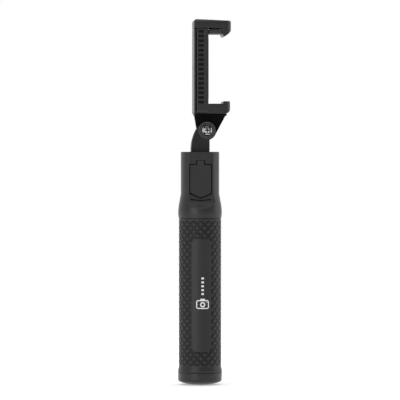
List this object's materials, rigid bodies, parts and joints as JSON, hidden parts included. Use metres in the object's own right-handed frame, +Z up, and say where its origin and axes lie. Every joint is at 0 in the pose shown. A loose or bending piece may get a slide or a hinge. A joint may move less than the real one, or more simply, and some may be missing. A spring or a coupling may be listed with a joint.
{
  "type": "selfie stick",
  "caption": "Telescopic selfie stick: rubber grip with inner power pack, covered charging port, nested steel pole, tilting arm and sprung phone clamp.",
  "frame": {"origin": "middle of the end cap's bottom, on the handle's axis", "axes": "+Z up along the handle to the clamp, +X the way the clamp opens and its jaws point, -Y the front with the port cover"},
  "size_m": [0.0419, 0.0371, 0.2919],
  "materials": {
    "grip_rubber": "matt moulded pattern",
    "black_abs": "fine moulded grain",
    "cap_abs": "fine moulded grain",
    "button_abs": "satin",
    "cover_rubber": "soft matt",
    "inner_abs": "as moulded",
    "knob_white": "as moulded",
    "casing": "extruded",
    "cell_wrap": "shrink wrap",
    "nickel": "bright",
    "lead": "insulated wire",
    "board": "solder mask",
    "lens": "clear",
    "pole_steel": "polished and drawn",
    "nylon": "natural nylon",
    "arm_nylon": "moulded glass-filled nylon",
    "bracket_black": "deep black",
    "screw_chrome": "polished",
    "zinc_steel": "zinc plated",
    "black_screw": "black oxide",
    "clamp_abs": "satin moulded",
    "pad_rubber": "soft matt",
    "spring_steel": "drawn wire"
  },
  "bodies": {
    "handle": {"grip_sleeve": "grip_rubber", "handle_tube": "casing", "neck_housing": "black_abs", "end_cap": "cap_abs", "strap_bar": "black_screw", "chassis": "inner_abs", "battery_cell_lower": "cell_wrap", "battery_cell_upper": "cell_wrap", "battery_tabs": "nickel", "battery_leads": "lead", "circuit_board": "board", "board_chips": "inner_abs", "usb_shell": "nickel", "usb_tongue": "inner_abs", "power_switch_body": "inner_abs", "indicator_lens": "lens", "tact_switch": "inner_abs", "port_cover_pin": "black_screw", "fixed_tube": "pole_steel"},
    "shutter": {"shutter_button": "button_abs"},
    "switch": {"power_switch_knob": "knob_white"},
    "cover": {"port_cover": "cover_rubber"},
    "pole_1": {"pole_tube_1": "pole_steel", "tube_bush_1": "nylon"},
    "pole_2": {"pole_tube_2": "pole_steel", "tube_bush_2": "nylon"},
    "pole_3": {"pole_tube_3": "pole_steel", "tube_bush_3": "nylon"},
    "pole_4": {"pole_tube_4": "pole_steel", "tube_bush_4": "nylon"},
    "head": {"pole_tube_5": "pole_steel", "tube_bush_5": "nylon", "arm": "arm_nylon", "arm_pin": "zinc_steel", "hinge_screw": "screw_chrome", "hinge_nut": "zinc_steel", "friction_washers": "nylon"},
    "clamp": {"clamp_bracket": "bracket_black", "bracket_screws": "black_screw", "clamp_frame": "clamp_abs", "clamp_cover": "clamp_abs", "cover_screw": "zinc_steel", "lower_pad": "pad_rubber", "back_pad": "pad_rubber", "spring_left": "spring_steel", "spring_right": "spring_steel"},
    "jaw": {"clamp_slider": "clamp_abs", "upper_pad": "pad_rubber"}
  },
  "joints": [
    {"name": "pole_slide_1", "type": "slide", "parent": "handle", "child": "pole_1", "axis": [0, 0, 1], "range_m": [0, 0.14]},
    {"name": "pole_slide_2", "type": "slide", "parent": "pole_1", "child": "pole_2", "axis": [0, 0, 1], "range_m": [0, 0.14]},
    {"name": "pole_slide_3", "type": "slide", "parent": "pole_2", "child": "pole_3", "axis": [0, 0, 1], "range_m": [0, 0.14]},
    {"name": "pole_slide_4", "type": "slide", "parent": "pole_3", "child": "pole_4", "axis": [0, 0, 1], "range_m": [0, 0.14]},
    {"name": "pole_slide_5", "type": "slide", "parent": "pole_4", "child": "head", "axis": [0, 0, 1], "range_m": [0, 0.14]},
    {"name": "clamp_tilt", "type": "hinge", "parent": "head", "child": "clamp", "pos_m": [0.0054, 0.0035, 0.2033], "axis": [0, 1, 0], "range_deg": [-75, 90]},
    {"name": "jaw_slide", "type": "slide", "parent": "clamp", "child": "jaw", "axis": [0, 0, 1], "range_m": [0, 0.028], "stiffness_N_per_m": 350, "springref_m": -0.017, "deforming": ["spring_left", "spring_right"]},
    {"name": "cover_hinge", "type": "hinge", "parent": "handle", "child": "cover", "pos_m": [0, -0.0114, 0.1789], "axis": [-1, 0, 0], "range_deg": [0, 95]},
    {"name": "shutter_press", "type": "slide", "parent": "handle", "child": "shutter", "axis": [-1, 0, 0], "range_m": [0, 0.0005], "stiffness_N_per_m": 3000, "springref_m": -0.0002},
    {"name": "power_slide", "type": "slide", "parent": "handle", "child": "switch", "axis": [1, 0, 0], "range_m": [0, 0.0025]}
  ]
}
